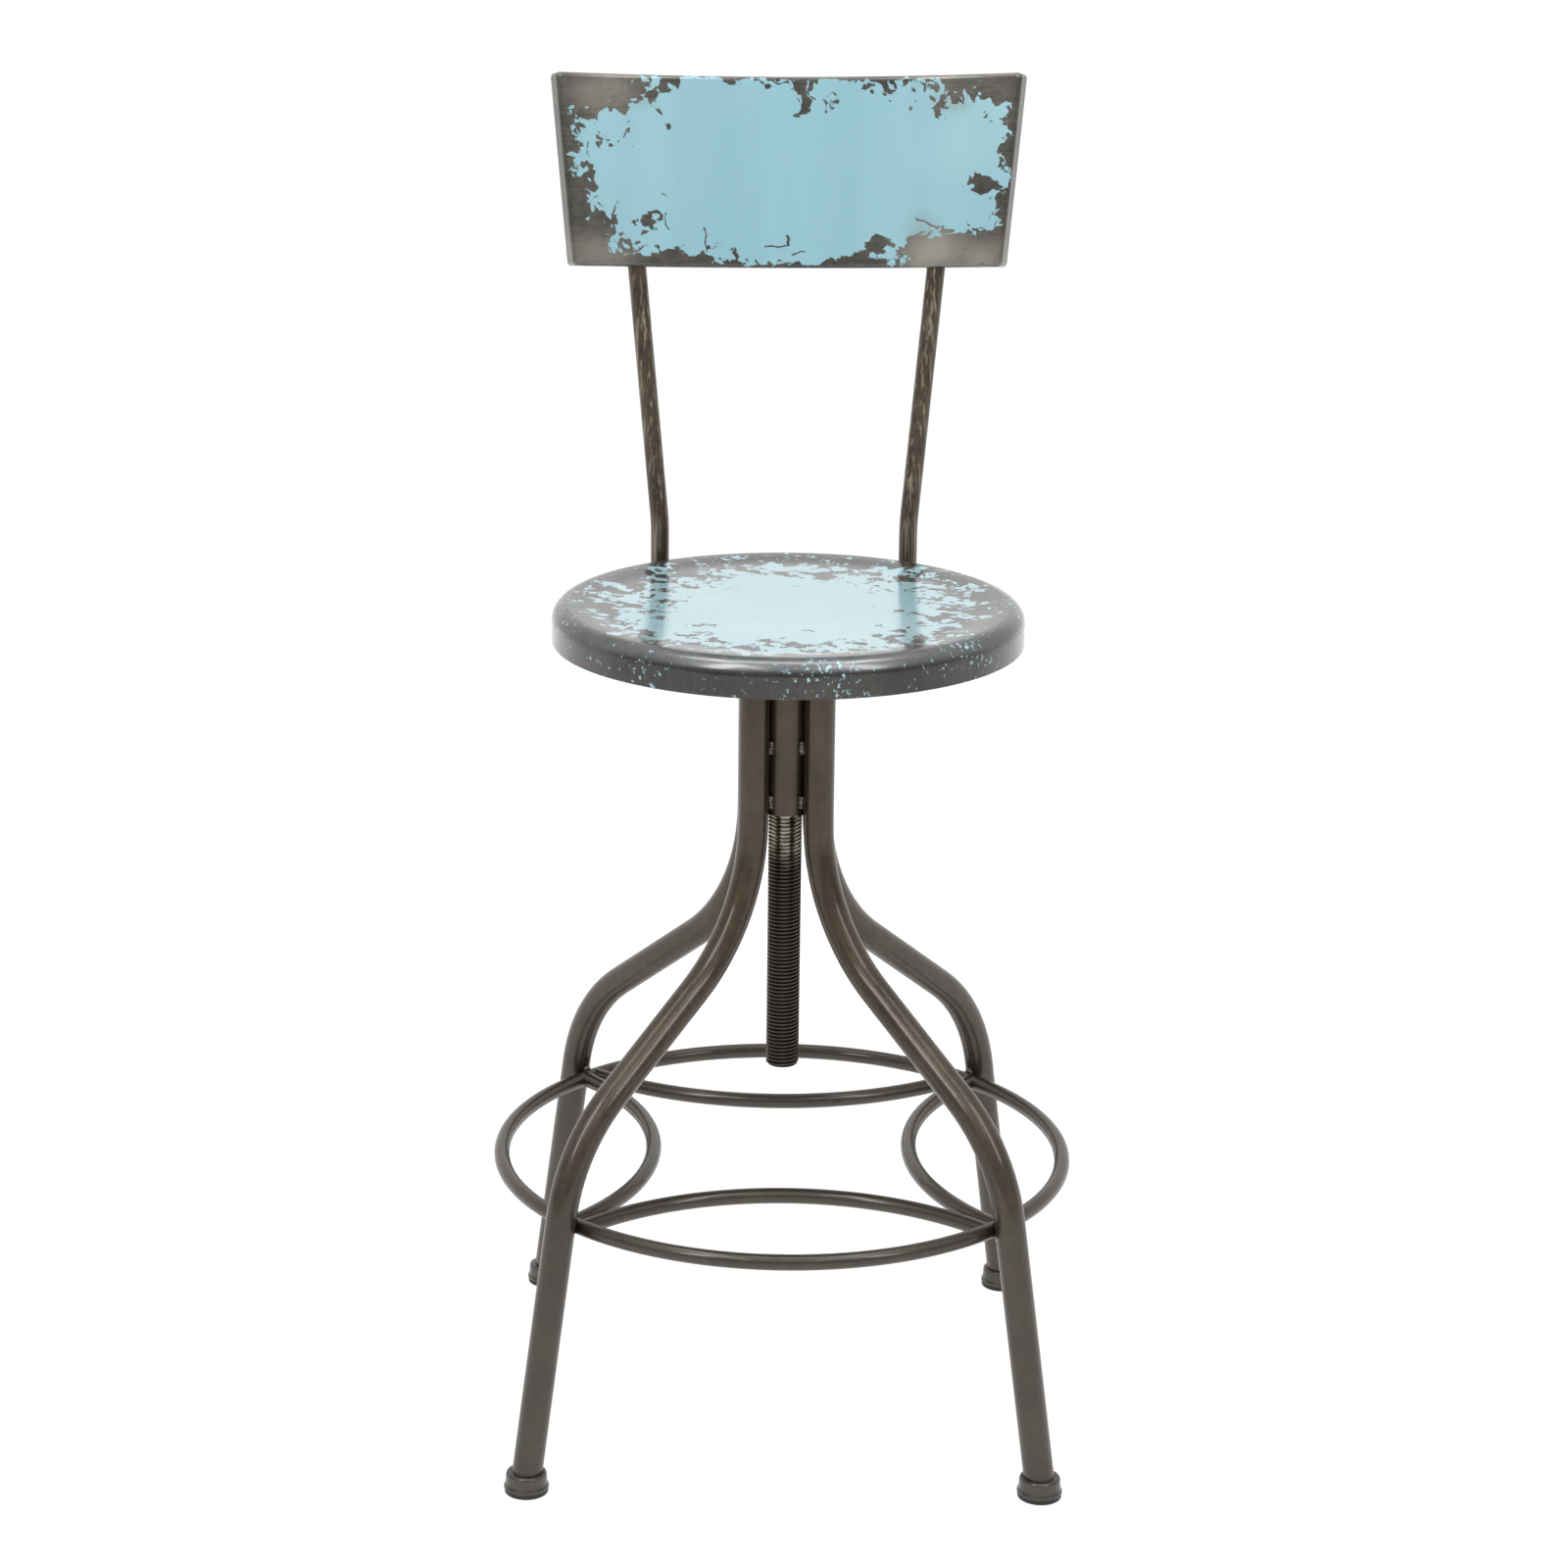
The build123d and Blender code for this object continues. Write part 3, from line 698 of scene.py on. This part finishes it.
# Dark steel goes by the first word of a node's name, the other slots by their own names
steel_of = {"ferrule": cup_steel, "foot": bar, "upright": back_bar}
by_slot = {"screw_steel": screw, "zinc": zinc, "rubber": rubber, "nylon": nylon}
for node, obj in nodes.items():
    slot = slot_of_node[node]
    if slot in by_slot:
        dress(obj, by_slot[slot])
    elif slot == "dark_steel":
        dress(obj, steel_of.get(node.split("_")[0], tube))
dress(nodes["seat_pan"], seat_paint())
dress(nodes["back_panel"], panel_paint())

dress(threaded_screw(), screw)
# Beads: the node, the way its ripples run, their height and the height of its lumps
BEADS = {
    "hub_weld_beads": ("hub_welds", (0, 0, 1), 0.25 * MM, 0.8 * MM),
    "ring_weld_beads": ("ring_welds", (1, 1, 0), 0.2 * MM, 0.5 * MM),
    "panel_weld_beads": ("panel_welds", (0, 0.19, 0.98), 0.25 * MM, 0.4 * MM),
}
for name, bead in BEADS.items():
    dress(rough_bead(name, *bead), bead_steel)

# Floor: how far it reaches, how it lights the chair, how its shadow shows, and its own white
FLOOR_REACH = 14.0
FLOOR_BOUNCE = grey(0.8)
FLOOR_SHADED = grey(0.3)
FLOOR_WHITE = 0.88


# Floor that shows as the white ground to camera, gloss and glass, and keeps the shadow
def white_floor():
    mesh = bpy.data.meshes.new("floor")
    corners = [(FLOOR_REACH * x, FLOOR_REACH * y, 0) for x, y in ((-1, -1), (1, -1), (1, 1), (-1, 1))]
    mesh.from_pydata(corners, [], [(0, 1, 2, 3)])
    made = bpy.data.objects.new("floor", mesh)
    bpy.context.scene.collection.objects.link(made)
    material = bpy.data.materials.new("white_floor")
    material.use_nodes = True
    graph = Graph(material.node_tree)
    graph.nodes.clear()
    ray = graph.node("ShaderNodeLightPath").outputs
    shown = graph.highest(ray["Is Camera Ray"], ray["Is Glossy Ray"], ray["Is Transmission Ray"])
    ground = graph.node("ShaderNodeBsdfDiffuse", {"Color": FLOOR_BOUNCE}).outputs[0]
    shaded = graph.node("ShaderNodeBsdfDiffuse", {"Color": FLOOR_SHADED}).outputs[0]
    lit = graph.node("ShaderNodeEmission", {"Strength": FLOOR_WHITE}).outputs[0]
    white = graph.node("ShaderNodeAddShader", {0: shaded, 1: lit}).outputs[0]
    both = graph.node("ShaderNodeMixShader", {0: shown, 1: ground, 2: white}).outputs[0]
    graph.node("ShaderNodeOutputMaterial", {"Surface": both})
    mesh.materials.append(material)


# Studio round the chair: white behind it, grey towards the camera's side
WHITE = grey(1.0)
ROOM_BEHIND = grey(0.95)
ROOM_ABOVE = grey(0.75)
ROOM_NEAR = grey(0.42)


def studio_world():
    world = bpy.data.worlds.new("studio")
    bpy.context.scene.world = world
    world.use_nodes = True
    graph = Graph(world.node_tree)
    sky = graph.nodes["Background"]
    ray = graph.node("ShaderNodeLightPath").outputs
    facing = graph.split(graph.node("ShaderNodeTexCoord").outputs["Generated"])
    behind = graph.ramp(facing[1], -0.25, 0.3)
    above = graph.ramp(facing[2], 0.35, 0.95)
    room = graph.mix(above, graph.mix(behind, ROOM_NEAR, ROOM_BEHIND), ROOM_ABOVE)
    reflected = graph.highest(ray["Is Glossy Ray"], ray["Is Transmission Ray"])
    plain = graph.mix(reflected, ROOM_NEAR, room)
    graph.put(sky.inputs["Color"], graph.mix(ray["Is Camera Ray"], plain, WHITE))
    sky.inputs["Strength"].default_value = 1.0


# Lamps: place, the point each looks at, size across and along, power in watts
LAMPS = {
    "key_left": ((-2.0, -2.6, 3.6), (0, 0, 0.6), (0.8, 2.8), 56),
    "fill_right": ((2.2, -2.4, 3.4), (0, 0, 0.6), (0.8, 2.8), 41),
    "strip_left": ((-0.9, -1.6, 3.4), (-0.9, -1.6, 0), (0.25, 4.4), 15),
    "strip_right": ((0.9, -1.6, 3.4), (0.9, -1.6, 0), (0.25, 4.4), 15),
    "top": ((0, 0.1, 3.5), (0, 0.1, 0), (2.8, 0.8), 24),
}


def soft_lamp(name, place, target, size, power):
    lamp = bpy.data.lights.new(name, "AREA")
    lamp.shape = "RECTANGLE"
    lamp.size, lamp.size_y = size
    lamp.energy = power
    made = bpy.data.objects.new(name, lamp)
    made.location = place
    made.rotation_euler = (Vector(target) - Vector(place)).to_track_quat("-Z", "Y").to_euler()
    bpy.context.scene.collection.objects.link(made)


def fitted_camera():
    camera = bpy.data.cameras.new("camera")
    camera.sensor_width = SENSOR_WIDTH
    camera.lens = CAMERA_LENS
    camera.shift_x = CAMERA_SHIFT
    viewer = bpy.data.objects.new("camera", camera)
    viewer.location = CAMERA_PLACE
    viewer.rotation_euler = (math.radians(CAMERA_TILT), 0, math.radians(CAMERA_TURN))
    bpy.context.scene.collection.objects.link(viewer)
    bpy.context.scene.camera = viewer


white_floor()
studio_world()
for name, lamp in LAMPS.items():
    soft_lamp(name, *lamp)
fitted_camera()
bpy.context.scene.view_settings.view_transform = "Standard"
